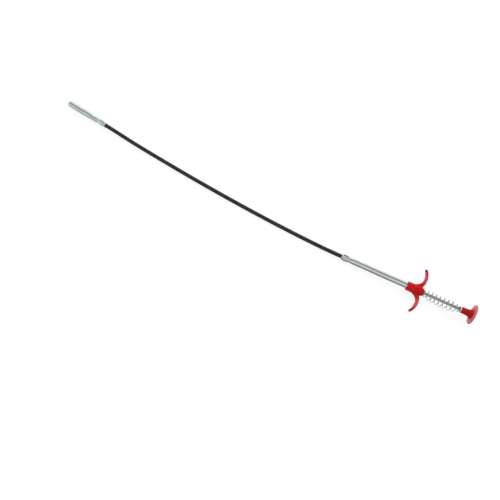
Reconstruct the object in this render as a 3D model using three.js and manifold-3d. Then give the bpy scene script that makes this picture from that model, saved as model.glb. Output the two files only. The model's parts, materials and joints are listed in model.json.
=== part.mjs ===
// Flexible claw auger for drains. A thumb plunger pushes a wire cable through a close-wound coil shaft,
// and four wire claws leave the tip sleeve and spread. A coil spring brings the plunger back.
// Millimetres, +Z up. The tool lies on a floor at z = 0 with its handle along +X, thumb button last.

import * as THREE from 'three';
import { mergeVertices } from 'three/addons/utils/BufferGeometryUtils.js';
import Module from 'manifold-3d';

const wasm = await Module();
wasm.setup();

// Clearances and cutting
const touchGap = 0.3; // between pieces that touch on the real tool
const slideGap = 0.35; // round a piece that slides in a bore
const clawGap = 0.2; // between neighbouring claw wires, and from a wire to the sleeve's mouth
const cutOverrun = 1; // how far a cutting shape runs past the face that it cuts
const mergeTolerance = 1e-4;

// Travel of the plunger, and of the claws that it pushes
const plungerStroke = 30;

// Close-wound coil shaft
const shaftSpan = 373; // straight distance from the handle tube to the tip sleeve
const shaftRadius = 2.5;
const shaftBoreRadius = 1.45;
const shaftGrooveDepth = 0.35;
const shaftInTube = 11;
const shaftInSleeve = 18;
const shaftRibs = 160;
const shaftSides = 8;
const ribShare = 0.25; // of its pitch, from where a rib starts to its crest
const ribsPerBoreRing = 5;
const shaftDrift = THREE.MathUtils.degToRad(4.25); // how far the span turns away from the handle's line
const sleeveTurn = THREE.MathUtils.degToRad(6.9); // how far the sleeve turns away from it
const shaftLanding = 40; // where the shaft comes down to the floor behind the handle tube
const shaftLift = 60; // where it climbs again to the sleeve's axis

// Wire cable inside the shaft
const cableRadius = 0.9;
const cableSides = 6;
const cableSteps = 56;
const cableInFerrule = 6;

// Crimped ends: the wall is pressed down on the shaft all round, but for lobes that stand out between
// the presses. Behind the lobes it has a narrow waist and then opens out to its plain radius.
const crimpLength = 14;
const crimpLobes = 4;
const crimpTurn = THREE.MathUtils.degToRad(38); // from level up to the first lobe
const crimpLobeRise = 0.4; // how far a lobe stands out past the plain wall
const crimpLobeFront = 2.8; // from the end to where the lobes have their full height
const crimpLobeBack = 6.5; // from the end to where they begin to sink
const crimpWaist = 11; // from the end to the waist
const crimpLobeBreadth = 1.6; // exponent: more than 1 makes the lobes broad and the presses narrow
const crimpSteps = 10;
const tubeSides = 24;

// Handle tube
const tubeRadius = 4;
const tubeWall = 0.7;
const tubeVisible = 85;
const tubeInGrip = 14;

// Finger grip: a barrel with two crescent horns
const gripLength = 20.8;
const gripRadius = 5.65;
const gripLip = 0.35;
const gripBossLength = 1.9;
const gripBossRadius = 4.7;
const gripShoulderRound = 1.2;
const gripShoulderShare = 0.3; // of the shoulder's round, at the middle point of its curve
const gripSides = 36;
const gripRollSteps = 20; // halvings in the search for the roll at which a horn rests on the floor
const fingerRadius = 12.4; // the hollow that a finger pulls on
const fingerBack = 4.5; // its centre, from the front of the barrel
const fingerBite = 0.25; // how far its circle runs into the barrel's side
const hornBackRadius = 20.1; // the arc behind the horn
const hornBackStart = 0; // its centre, from the front of the barrel
const hornBackOut = 15; // and from the barrel's axis
const hornWidth = 5.2;
const hornTipAngle = THREE.MathUtils.degToRad(139); // round the finger hollow, from the barrel's side
const hornTipRound = THREE.MathUtils.degToRad(11);
const hornTipShare = 0.25; // what is left of the section's width at the very tip
const hornTipFlat = 0.45; // share of its thickness that the tip keeps
const hornSections = 13;
const hornTipSections = 4;
const hornSides = 12;
const hornSquareness = 3; // exponent of the section's rounded rectangle

// Plunger: rod, thumb button, washer and the ferrule that holds the cable
const springSpace = 46.7; // from the grip to the thumb button
const rodRadius = 1.5;
const rodSides = 16;
const rodInButton = 9;
const rodInFerrule = 8;
const rodChamfer = 0.3;
const buttonLength = 14.2;
const buttonNeckRadius = 3.95;
const buttonNeckLength = 4.5;
const buttonNeckChamfer = 0.35;
const buttonFlareRadius = 6.6;
const buttonFlareSteps = 7;
const discRadius = 12.2;
const discThickness = 1.6;
const discRound = 0.5;
const buttonSides = 40;
const washerRadius = 3.7;
const washerThickness = 1.3;
const ferruleGap = 0.6; // round the cable's ferrule, in the handle tube
const ferruleLength = 14;
const ferruleChamfer = 0.4;
const ferruleSides = 20;

// Return spring
const springWire = 0.45; // radius of the wire
const springRadius = 6.2; // to the middle of the wire
const springEndRadius = 3.2;
const springTurns = 9.75;
const springPhase = 0.57; // turns by which the coil's first end is turned on from level
const springEndTurns = 0.75; // closed turns at each end
const springEndPitch = 1.6;
const springSag = 2.6; // how far the loose middle hangs below the rod's axis
const springGatherTurns = 2.2; // over which the coil opens out from its end turns
const springStepsPerTurn = 8;
const springSides = 5;
const springProbe = 0.02; // turns to either side at which the wire's direction is taken

// Tip sleeve
const sleeveLength = 63;
const sleeveRadius = 4.6;
const sleeveWaistRadius = 3.95;
const sleeveWall = 0.55;
const sleeveTaperStart = 24; // from the mouth
const sleeveTaperLength = 18;
const sleeveTaperSteps = 4;

// Claws
const clawCount = 4;
const clawWire = 0.5; // radius of the wire
const clawFerruleLength = 14;
const clawCupDepth = 1.6;
const clawFerruleWall = 0.7;
const clawHookRadius = 1.5;
const clawRecess = 1.2; // how far the closed claws lie inside the mouth
const clawSides = 8;
const clawShankSteps = 5;
const clawHookSteps = 5;
const clawTipShare = 0.55; // radius of the rounded end of a claw, as a share of its wire

// Places along the handle's axis, from the front end of the handle tube
const gripFront = tubeVisible;
const gripRear = gripFront + gripLength;
const buttonFront = gripRear + springSpace;
const discFront = buttonFront + buttonLength - discThickness;
const ferruleFront = shaftInTube + plungerStroke + cutOverrun;
const ferruleRear = ferruleFront + ferruleLength;
const washerRear = buttonFront - touchGap;
const ferruleRadius = tubeRadius - tubeWall - ferruleGap;

// The handle rests on the rim of its disc and on the lobes of its tube's crimp
const crimpDrop = crimpDepth();
const handleTilt = Math.atan((discRadius - crimpDrop) / (discFront + discRound - crimpLobeFront));
const tubeEndHeight = crimpDrop * Math.cos(handleTilt) - crimpLobeFront * Math.sin(handleTilt);
const gripHeight = tubeEndHeight + gripFront * Math.sin(handleTilt);

// Places along the sleeve's axis, from its crimped end to its mouth
const clawFerruleRear = shaftInSleeve + touchGap;
const clawFerruleFront = clawFerruleRear + clawFerruleLength;
const clawRoot = clawFerruleFront - clawCupDepth + touchGap;
const clawReach = sleeveLength - clawRoot; // from a claw's root to the mouth

// The claws open at a steady rate, at which the middle of a wire just clears the mouth as it passes.
// A wire's front half follows the parabola that the mouth would let through at that rate.
const clawBundle = (2 * clawWire + clawGap) / (2 * Math.sin(Math.PI / clawCount));
const mouthClear = sleeveRadius - sleeveWall - clawWire - clawGap;
const clawOpenRate = (4 * (mouthClear - clawBundle)) / clawReach ** 2; // radians per millimetre of stroke
const clawOpenAngle = clawOpenRate * plungerStroke;
const clawCupRadius = clawBundle + clawWire + clawCupDepth * Math.tan(clawOpenAngle) + clawGap;
const clawFerruleRadius = clawCupRadius + clawFerruleWall;

const materials = {
  red: new THREE.MeshStandardMaterial({ color: 0xc41a20, roughness: 0.35, metalness: 0 }),
  chrome: new THREE.MeshStandardMaterial({ color: 0xd2d7da, roughness: 0.18, metalness: 1 }),
  zinc: new THREE.MeshStandardMaterial({ color: 0xc4d0cf, roughness: 0.38, metalness: 1 }),
  blackSteel: new THREE.MeshStandardMaterial({ color: 0x2a2a28, roughness: 0.5, metalness: 0.6 }),
  springSteel: new THREE.MeshStandardMaterial({ color: 0xa9adad, roughness: 0.28, metalness: 1 }),
  cableSteel: new THREE.MeshStandardMaterial({ color: 0x8d8f8e, roughness: 0.45, metalness: 1 }),
  nylon: new THREE.MeshStandardMaterial({ color: 0xe6dedb, roughness: 0.5, metalness: 0 }),
};

// 0 below 0, 1 above 1, and a smooth rise between
function smooth(value) {
  return THREE.MathUtils.smoothstep(value, 0, 1);
}

// Merged vertices, no collapsed triangles, and faces that look outwards
function closedBody(source) {
  const bare = new THREE.BufferGeometry();
  bare.setAttribute('position', source.attributes.position);
  bare.setIndex(source.index);
  const merged = mergeVertices(bare, mergeTolerance);
  const corners = merged.index.array;
  const points = merged.attributes.position;
  const [a, b, c] = [new THREE.Vector3(), new THREE.Vector3(), new THREE.Vector3()];
  const kept = [];
  let volume = 0;
  for (let i = 0; i < corners.length; i += 3) {
    const [ia, ib, ic] = [corners[i], corners[i + 1], corners[i + 2]];
    if (ia === ib || ib === ic || ic === ia) continue;
    a.fromBufferAttribute(points, ia);
    b.fromBufferAttribute(points, ib);
    c.fromBufferAttribute(points, ic);
    volume += a.dot(b.cross(c));
    kept.push([ia, ib, ic]);
  }
  const facing = volume < 0 ? kept.map(([ia, ib, ic]) => [ia, ic, ib]) : kept;
  merged.setIndex(facing.flat());
  merged.computeVertexNormals();
  return merged;
}

// A body skinned over rings that have the same number of points. A bored body's rings run out along
// its outside and back along its bore, so the last ring joins the first; a solid one gets end caps.
function ringBody(rings, bored) {
  const sides = rings[0].length;
  const index = [];
  const joints = bored ? rings.length : rings.length - 1;
  for (let i = 0; i < joints; i += 1) {
    const here = i * sides;
    const next = ((i + 1) % rings.length) * sides;
    for (let k = 0; k < sides; k += 1) {
      const k1 = (k + 1) % sides;
      index.push(here + k, next + k, next + k1);
      index.push(here + k, next + k1, here + k1);
    }
  }
  if (!bored) {
    const last = (rings.length - 1) * sides;
    for (let k = 1; k < sides - 1; k += 1) {
      index.push(0, k, k + 1);
      index.push(last, last + k + 1, last + k);
    }
  }
  const geometry = new THREE.BufferGeometry().setFromPoints(rings.flat());
  geometry.setIndex(index);
  return closedBody(geometry);
}

// A ring of points round a place, in the plane of two directions
function ringAt(centre, across, up, sides, radiusAt) {
  return Array.from({ length: sides }, (_, k) => {
    const angle = (2 * Math.PI * k) / sides;
    const radius = radiusAt(angle);
    return centre
      .clone()
      .addScaledVector(across, radius * Math.cos(angle))
      .addScaledVector(up, radius * Math.sin(angle));
  });
}

// A ring round the X axis
function axisRing(x, sides, radiusAt) {
  const centre = new THREE.Vector3(x, 0, 0);
  return ringAt(centre, new THREE.Vector3(0, 1, 0), new THREE.Vector3(0, 0, 1), sides, radiusAt);
}

// A body turned round the X axis, from [place along X, radius] pairs that start and end on the axis,
// or go round a bored section back to their start
function turned(profile, sides) {
  const points = profile.map(([x, radius]) => new THREE.Vector2(radius, x));
  return closedBody(new THREE.LatheGeometry(points, sides).rotateZ(-Math.PI / 2));
}

function toManifold(geometry) {
  const solid = new wasm.Mesh({
    numProp: 3,
    vertProperties: new Float32Array(geometry.attributes.position.array),
    triVerts: new Uint32Array(geometry.index.array),
  });
  return new wasm.Manifold(solid);
}

function fromManifold(solid) {
  const { vertProperties, triVerts } = solid.getMesh();
  const geometry = new THREE.BufferGeometry();
  geometry.setAttribute('position', new THREE.BufferAttribute(vertProperties, 3));
  geometry.setIndex(Array.from(triVerts));
  return closedBody(geometry);
}

function named(name, geometry, material) {
  const mesh = new THREE.Mesh(geometry, material);
  mesh.name = name;
  return mesh;
}

// The shaft's route on the floor: a gentle bow from the handle tube to the sleeve
const towardsMouth = new THREE.Vector3(-Math.cos(sleeveTurn), Math.sin(sleeveTurn), 0);
const handleAxis = new THREE.Vector3(Math.cos(handleTilt), 0, Math.sin(handleTilt));
const tubeEnd = new THREE.Vector3(0, 0, tubeEndHeight);
const sleeveEnd = new THREE.Vector3(
  -shaftSpan * Math.cos(shaftDrift),
  shaftSpan * Math.sin(shaftDrift),
  sleeveRadius,
);
const floorRoute = new THREE.CubicBezierCurve(
  new THREE.Vector2(0, 0),
  new THREE.Vector2(-shaftSpan / 3, 0),
  new THREE.Vector2(
    sleeveEnd.x - (towardsMouth.x * shaftSpan) / 3,
    sleeveEnd.y - (towardsMouth.y * shaftSpan) / 3,
  ),
  new THREE.Vector2(sleeveEnd.x, sleeveEnd.y),
);

// Height of the shaft's axis: straight out of the tube, down to the floor, along it and up to the sleeve
function routeHeight(distance) {
  const lead = 2 * shaftRadius;
  const slope = Math.tan(handleTilt);
  if (distance < lead) return tubeEndHeight - distance * slope;
  const down = Math.min((distance - lead) / shaftLanding, 1);
  const start = tubeEndHeight - lead * slope - shaftRadius;
  const landing = start * (1 - smooth(down)) - slope * shaftLanding * down * (1 - down) ** 2;
  const up = (distance - (shaftSpan - lead - shaftLift)) / shaftLift;
  return shaftRadius + landing + (sleeveRadius - shaftRadius) * smooth(up);
}

// A point of the shaft's axis, by its distance in front of the handle tube. Behind it the axis is the
// handle's, and past the far end it is the sleeve's.
function routePoint(distance) {
  if (distance <= 0) return tubeEnd.clone().addScaledVector(handleAxis, -distance);
  if (distance >= shaftSpan) return sleeveEnd.clone().addScaledVector(towardsMouth, distance - shaftSpan);
  const place = floorRoute.getPoint(distance / shaftSpan);
  return new THREE.Vector3(place.x, place.y, routeHeight(distance));
}

// A ring round the shaft's axis, square to it
function routeRing(distance, sides, radius) {
  const probe = shaftRadius / 2;
  const along = routePoint(distance + probe).sub(routePoint(distance - probe)).normalize();
  const across = new THREE.Vector3(0, 0, 1).cross(along).normalize();
  return ringAt(routePoint(distance), across, along.clone().cross(across), sides, () => radius);
}

// Close-wound coil: a row of ribs outside, a plain bore inside
function shaftBody() {
  const start = -shaftInTube;
  const length = shaftInTube + shaftSpan + shaftInSleeve;
  const pitch = length / shaftRibs;
  const outside = [routeRing(start, shaftSides, shaftRadius)];
  for (let rib = 0; rib < shaftRibs; rib += 1) {
    const crest = start + (rib + ribShare) * pitch;
    const groove = start + (rib + 1 - ribShare) * pitch;
    outside.push(routeRing(crest, shaftSides, shaftRadius));
    outside.push(routeRing(groove, shaftSides, shaftRadius - shaftGrooveDepth));
  }
  outside.push(routeRing(start + length, shaftSides, shaftRadius));
  const bore = [];
  for (let rib = shaftRibs; rib >= 0; rib -= ribsPerBoreRing) {
    bore.push(routeRing(start + rib * pitch, shaftSides, shaftBoreRadius));
  }
  return ringBody([...outside, ...bore], true);
}

// Wire cable from the plunger's ferrule to the claws' ferrule
function cableBody() {
  const start = -(ferruleRear - rodInFerrule - touchGap);
  const end = shaftSpan + clawFerruleRear + cableInFerrule - touchGap;
  const rings = [];
  for (let step = 0; step <= cableSteps; step += 1) {
    rings.push(routeRing(start + ((end - start) * step) / cableSteps, cableSides, cableRadius));
  }
  return ringBody(rings, false);
}

// How far the wall stands out at an angle round a crimp, from 0 in a press to 1 on a lobe
function lobeShare(angle) {
  const press = (1 - Math.cos(crimpLobes * (angle - crimpTurn))) / 2;
  return 1 - press ** crimpLobeBreadth;
}

// Outer radius of a crimped wall that is otherwise of the given radius
function crimpedRadius(place, angle, radius, wall) {
  const floor = shaftRadius + touchGap + wall;
  const sinking = smooth((place - crimpLobeBack) / (crimpWaist - crimpLobeBack));
  const lobe = smooth(place / crimpLobeFront) * (1 - sinking) * lobeShare(angle);
  const opening = smooth((place - crimpWaist) / (crimpLength - crimpWaist));
  return floor + (radius + crimpLobeRise - floor) * lobe + (radius - floor) * opening;
}

// How far below the axis the lobes of the handle tube's crimp reach
function crimpDepth() {
  const depths = Array.from({ length: tubeSides }, (_, k) => {
    const angle = (2 * Math.PI * k) / tubeSides;
    return -Math.sin(angle) * crimpedRadius(crimpLobeFront, angle, tubeRadius, tubeWall);
  });
  return Math.max(...depths);
}

// A thin-walled tube with one crimped end, from the places of its rings
function crimpedTube(places, radiusAt, wall) {
  const outside = places.map((x) => axisRing(x, tubeSides, (angle) => radiusAt(x, angle)));
  const inside = places.map((x) => axisRing(x, tubeSides, (angle) => radiusAt(x, angle) - wall));
  return ringBody([...outside, ...inside.reverse()], true);
}

function crimpPlaces() {
  return Array.from({ length: crimpSteps + 1 }, (_, i) => (crimpLength * i) / crimpSteps);
}

function handleTubeBody() {
  const end = gripFront + tubeInGrip - touchGap;
  const places = [...crimpPlaces(), end];
  return crimpedTube(places, (x, angle) => crimpedRadius(x, angle, tubeRadius, tubeWall), tubeWall);
}

// Plain radius of the sleeve: wide at the mouth, tapering to a waist before the crimp
function sleevePlainRadius(place) {
  const fromMouth = sleeveLength - place;
  const taper = smooth((fromMouth - sleeveTaperStart) / sleeveTaperLength);
  return sleeveRadius - (sleeveRadius - sleeveWaistRadius) * taper;
}

function sleeveBody() {
  const places = crimpPlaces();
  for (let step = 0; step <= sleeveTaperSteps; step += 1) {
    const run = (sleeveTaperLength * step) / sleeveTaperSteps;
    places.push(sleeveLength - sleeveTaperStart - sleeveTaperLength + run);
  }
  places.push(sleeveLength);
  const radiusAt = (x, angle) => crimpedRadius(x, angle, sleevePlainRadius(x), sleeveWall);
  return crimpedTube(places, radiusAt, sleeveWall);
}

// Places of a horn's sections, as turns round the finger hollow: even steps along the horn, and then
// ever closer ones round its tip
function hornTurns() {
  const tipStart = hornTipAngle - hornTipRound;
  const along = Array.from({ length: hornSections }, (_, i) => (tipStart * i) / hornSections);
  const round = Array.from({ length: hornTipSections + 1 }, (_, i) => {
    return tipStart + hornTipRound * Math.sin(((Math.PI / 2) * i) / hornTipSections);
  });
  return [...along, ...round];
}

// One horn: rounded sections along the finger hollow. The hollow's circle is its front edge and a
// larger circle, set off centre, its back edge, so it thins towards the tip.
function hornBody() {
  const fingerOut = gripRadius - fingerBite + fingerRadius;
  const offBack = fingerBack - hornBackStart;
  const offOut = fingerOut - hornBackOut;
  const rings = hornTurns().map((angle) => {
    const back = Math.sin(angle);
    const out = -Math.cos(angle);
    const half = offBack * back + offOut * out;
    const reach = -half + Math.sqrt(half ** 2 - offBack ** 2 - offOut ** 2 + hornBackRadius ** 2);
    const end = THREE.MathUtils.clamp((angle - hornTipAngle) / hornTipRound + 1, 0, 1);
    const round = Math.max(hornTipShare, Math.sqrt(1 - end ** 2));
    const thickness = (reach - fingerRadius) * (hornTipFlat + (1 - hornTipFlat) * round);
    const middle = (reach + fingerRadius) / 2;
    const centre = new THREE.Vector3(fingerBack + middle * back, fingerOut + middle * out, 0);
    const along = new THREE.Vector3(back, out, 0);
    return hornSection(centre, along, thickness / 2, (hornWidth / 2) * round);
  });
  return ringBody(rings, false);
}

// A rounded rectangle across the horn
function hornSection(centre, along, halfThickness, halfWidth) {
  const bend = (value) => Math.sign(value) * Math.abs(value) ** (2 / hornSquareness);
  return Array.from({ length: hornSides }, (_, k) => {
    const angle = (2 * Math.PI * (k + 0.5)) / hornSides;
    return centre
      .clone()
      .addScaledVector(along, halfThickness * bend(Math.cos(angle)))
      .setZ(halfWidth * bend(Math.sin(angle)));
  });
}

// Barrel with its rear boss, before it is bored
function barrelBody() {
  const shoulder = gripLength - gripBossLength;
  const rounded = gripShoulderRound * gripShoulderShare;
  return turned(
    [
      [0, 0],
      [0, gripRadius - gripLip],
      [gripLip, gripRadius],
      [shoulder - gripShoulderRound, gripRadius],
      [shoulder - rounded, gripRadius - rounded],
      [shoulder, gripRadius - gripShoulderRound],
      [shoulder, gripBossRadius],
      [gripLength - gripLip, gripBossRadius],
      [gripLength, gripBossRadius - gripLip],
      [gripLength, 0],
    ],
    gripSides,
  );
}

function fingerGripBody() {
  let grip = toManifold(barrelBody());
  for (const turn of [0, Math.PI]) {
    grip = grip.add(toManifold(closedBody(hornBody().rotateX(turn))));
  }
  const tubeSocket = turned(
    [
      [-cutOverrun, 0],
      [-cutOverrun, tubeRadius + touchGap],
      [tubeInGrip, tubeRadius + touchGap],
      [tubeInGrip, 0],
    ],
    gripSides,
  );
  const rodHole = turned(
    [
      [tubeInGrip - cutOverrun, 0],
      [tubeInGrip - cutOverrun, rodRadius + slideGap],
      [gripLength + cutOverrun, rodRadius + slideGap],
      [gripLength + cutOverrun, 0],
    ],
    rodSides,
  );
  return fromManifold(grip.subtract(toManifold(tubeSocket)).subtract(toManifold(rodHole)));
}

// How far the grip rolls about the handle's axis until its lower horn rests on the floor
function restingRoll(grip) {
  let [above, below] = [0, Math.PI / 4];
  for (let step = 0; step < gripRollSteps; step += 1) {
    const roll = (above + below) / 2;
    const rolled = grip.clone().rotateX(roll).rotateY(-handleTilt);
    rolled.computeBoundingBox();
    if (rolled.boundingBox.min.z + gripHeight > 0) above = roll;
    else below = roll;
  }
  return above;
}

// Thumb button: neck, concave flare and thin disc, with a blind socket for the rod
function thumbButtonBody() {
  const discBack = buttonLength - discThickness;
  const flare = new THREE.QuadraticBezierCurve(
    new THREE.Vector2(buttonNeckLength, buttonNeckRadius),
    new THREE.Vector2((buttonNeckLength + 2 * discBack) / 3, buttonNeckRadius),
    new THREE.Vector2(discBack, buttonFlareRadius),
  );
  const socket = rodRadius + touchGap;
  return turned(
    [
      [rodInButton, 0],
      [rodInButton, socket],
      [0, socket],
      [0, buttonNeckRadius - buttonNeckChamfer],
      [buttonNeckChamfer, buttonNeckRadius],
      ...flare.getPoints(buttonFlareSteps).map((point) => [point.x, point.y]),
      [discBack, discRadius - discRound],
      [discBack + discRound, discRadius],
      [buttonLength - discRound, discRadius],
      [buttonLength, discRadius - discRound],
      [buttonLength, 0],
    ],
    buttonSides,
  );
}

function rodBody() {
  const start = ferruleRear - rodInFerrule;
  const end = buttonFront + rodInButton - touchGap;
  return turned(
    [
      [start, 0],
      [start, rodRadius - rodChamfer],
      [start + rodChamfer, rodRadius],
      [end - rodChamfer, rodRadius],
      [end, rodRadius - rodChamfer],
      [end, 0],
    ],
    rodSides,
  );
}

function washerBody() {
  const bore = rodRadius + slideGap;
  return turned(
    [
      [washerRear - washerThickness, bore],
      [washerRear - washerThickness, washerRadius],
      [washerRear, washerRadius],
      [washerRear, bore],
      [washerRear - washerThickness, bore],
    ],
    ferruleSides,
  );
}

// Ferrule that joins the rod to the cable, bored for each from its own end
function cableFerruleBody() {
  const step = ferruleRear - rodInFerrule - touchGap;
  const rodBore = rodRadius + touchGap;
  const cableBore = cableRadius + touchGap;
  return turned(
    [
      [ferruleFront, cableBore],
      [ferruleFront, ferruleRadius - ferruleChamfer],
      [ferruleFront + ferruleChamfer, ferruleRadius],
      [ferruleRear - ferruleChamfer, ferruleRadius],
      [ferruleRear, ferruleRadius - ferruleChamfer],
      [ferruleRear, rodBore],
      [step, rodBore],
      [step, cableBore],
      [ferruleFront, cableBore],
    ],
    ferruleSides,
  );
}

// Axis of the return spring's wire at a number of turns from the grip
function springPoint(turns) {
  const first = gripRear + touchGap + springWire;
  const last = washerRear - washerThickness - touchGap - springWire;
  const open = springTurns - 2 * springEndTurns;
  const pitch = (last - first - 2 * springEndTurns * springEndPitch) / open;
  const inFirst = Math.min(turns, springEndTurns);
  const inOpen = THREE.MathUtils.clamp(turns - springEndTurns, 0, open);
  const inLast = Math.max(turns - springEndTurns - open, 0);
  const x = first + (inFirst + inLast) * springEndPitch + inOpen * pitch;
  const opened = smooth(turns / springGatherTurns) * smooth((springTurns - turns) / springGatherTurns);
  const radius = springEndRadius + (springRadius - springEndRadius) * opened;
  const sag = springSag * Math.sin((Math.PI * turns) / springTurns) ** 2;
  const angle = 2 * Math.PI * (springPhase - turns);
  return new THREE.Vector3(x, radius * Math.cos(angle), radius * Math.sin(angle) - sag);
}

// Least gap between stretches of the spring's wire that lie half a turn or more apart
function springSelfGap() {
  const perTurn = 6 * springStepsPerTurn;
  const points = Array.from({ length: springTurns * perTurn + 1 }, (_, i) => springPoint(i / perTurn));
  let least = Infinity;
  for (let i = 0; i < points.length; i += 1) {
    for (let j = i + perTurn / 2; j < points.length; j += 1) {
      least = Math.min(least, points[i].distanceTo(points[j]));
    }
  }
  return least - 2 * springWire;
}

function springBody() {
  const rings = [];
  const steps = springTurns * springStepsPerTurn;
  for (let step = 0; step <= steps; step += 1) {
    const turns = step / springStepsPerTurn;
    const centre = springPoint(turns);
    const before = springPoint(Math.max(turns - springProbe, 0));
    const along = springPoint(Math.min(turns + springProbe, springTurns)).sub(before).normalize();
    const across = new THREE.Vector3(1, 0, 0).cross(along).normalize();
    rings.push(ringAt(centre, across, along.clone().cross(across), springSides, () => springWire));
  }
  return ringBody(rings, false);
}

// Ferrule that carries the claws: a cup for their roots in front, the cable's socket behind
function clawFerruleBody() {
  const cup = clawFerruleFront - clawCupDepth;
  const socket = clawFerruleRear + cableInFerrule;
  const cableBore = cableRadius + touchGap;
  return turned(
    [
      [cup, 0],
      [cup, clawCupRadius],
      [clawFerruleFront, clawCupRadius],
      [clawFerruleFront, clawFerruleRadius],
      [clawFerruleRear + ferruleChamfer, clawFerruleRadius],
      [clawFerruleRear, clawFerruleRadius - ferruleChamfer],
      [clawFerruleRear, cableBore],
      [socket, cableBore],
      [socket, 0],
    ],
    ferruleSides,
  );
}

// Axis of a claw's wire, from its root: [along, out] pairs. The back half runs straight beside its
// neighbours, the front half flares, and the end hooks inwards round an arc.
function clawLine() {
  const middle = clawReach / 2;
  const slopeAt = (along) => 2 * clawOpenRate * (along - middle);
  const outAt = (along) => clawBundle + clawOpenRate * (along - middle) ** 2;
  const furthest = clawReach - clawRecess - clawWire;
  const shoulder = furthest - clawHookRadius * (1 + slopeAt(furthest));
  const lean = Math.atan(slopeAt(shoulder));
  const centre = [
    shoulder + clawHookRadius * Math.sin(lean),
    outAt(shoulder) - clawHookRadius * Math.cos(lean),
  ];
  const hookEnd = Math.acos((clawBundle - centre[1]) / clawHookRadius);
  const line = [[0, clawBundle]];
  for (let step = 0; step < clawShankSteps; step += 1) {
    const along = middle + ((shoulder - middle) * step) / clawShankSteps;
    line.push([along, outAt(along)]);
  }
  for (let step = 0; step <= clawHookSteps; step += 1) {
    const angle = -lean + ((hookEnd + lean) * step) / clawHookSteps;
    const along = centre[0] + clawHookRadius * Math.sin(angle);
    line.push([along, centre[1] + clawHookRadius * Math.cos(angle)]);
  }
  return line;
}

// One claw, in the plane of X and Z, with its root at the origin of its group
function clawBody() {
  const line = clawLine().map(([along, out]) => new THREE.Vector3(along, 0, out));
  const side = new THREE.Vector3(0, 1, 0);
  const rings = line.map((point, i) => {
    const from = line[Math.max(i - 1, 0)];
    const to = line[Math.min(i + 1, line.length - 1)];
    const along = to.clone().sub(from).normalize();
    return ringAt(point, side, along.clone().cross(side), clawSides, () => clawWire);
  });
  const last = line.length - 1;
  const onward = line[last].clone().sub(line[last - 1]).normalize();
  const tip = line[last].clone().addScaledVector(onward, clawWire * (1 - clawTipShare));
  rings.push(ringAt(tip, side, onward.clone().cross(side), clawSides, () => clawWire * clawTipShare));
  return ringBody(rings, false);
}

function clawMeshes() {
  return Array.from({ length: clawCount }, (_, i) => {
    const claw = named(`claw_wire_${i + 1}`, clawBody(), materials.springSteel);
    const turn = new THREE.Group();
    turn.position.x = clawRoot;
    turn.rotation.x = (2 * Math.PI * (i + 0.5)) / clawCount;
    turn.add(claw);
    return turn;
  });
}

// Handle: everything along the tilted axis, from the front end of its tube
function handleGroup() {
  const handle = new THREE.Group();
  handle.position.copy(tubeEnd);
  handle.rotation.y = -handleTilt;
  const grip = named('finger_grip', fingerGripBody(), materials.red);
  grip.position.x = gripFront;
  grip.rotation.x = restingRoll(grip.geometry);
  const button = named('thumb_button', thumbButtonBody(), materials.red);
  button.position.x = buttonFront;
  handle.add(
    named('handle_tube', handleTubeBody(), materials.chrome),
    grip,
    button,
    named('plunger_rod', rodBody(), materials.chrome),
    named('spring_washer', washerBody(), materials.nylon),
    named('cable_ferrule', cableFerruleBody(), materials.zinc),
    named('return_spring', springBody(), materials.springSteel),
  );
  return handle;
}

// Tip: the sleeve and the claws in it, from the sleeve's crimped end towards its mouth
function tipGroup() {
  const tip = new THREE.Group();
  tip.position.copy(sleeveEnd);
  tip.rotation.z = Math.PI - sleeveTurn;
  tip.add(
    named('tip_sleeve', sleeveBody(), materials.zinc),
    named('claw_ferrule', clawFerruleBody(), materials.zinc),
    ...clawMeshes(),
  );
  return tip;
}

const group = new THREE.Group();
group.add(
  handleGroup(),
  tipGroup(),
  named('flexible_shaft', shaftBody(), materials.blackSteel),
  named('inner_cable', cableBody(), materials.cableSteel),
);

// The origin is below the middle of the tool, on the floor
group.updateMatrixWorld(true);
const bounds = new THREE.Box3().setFromObject(group, true);
const middle = bounds.getCenter(new THREE.Vector3());
group.position.set(-middle.x, -middle.y, -bounds.min.z);
group.updateMatrixWorld(true);

console.log(`return spring: least gap between turns ${springSelfGap().toFixed(2)} mm`);

export default group;
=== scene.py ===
# Flexible claw auger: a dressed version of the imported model, on a plain white floor.
# Shapes are worked out in millimetres, in the handle's or the tip's own axes, and placed in the frame in metres.

import json
import math

import bpy
import numpy as np
from mathutils import Matrix

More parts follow.
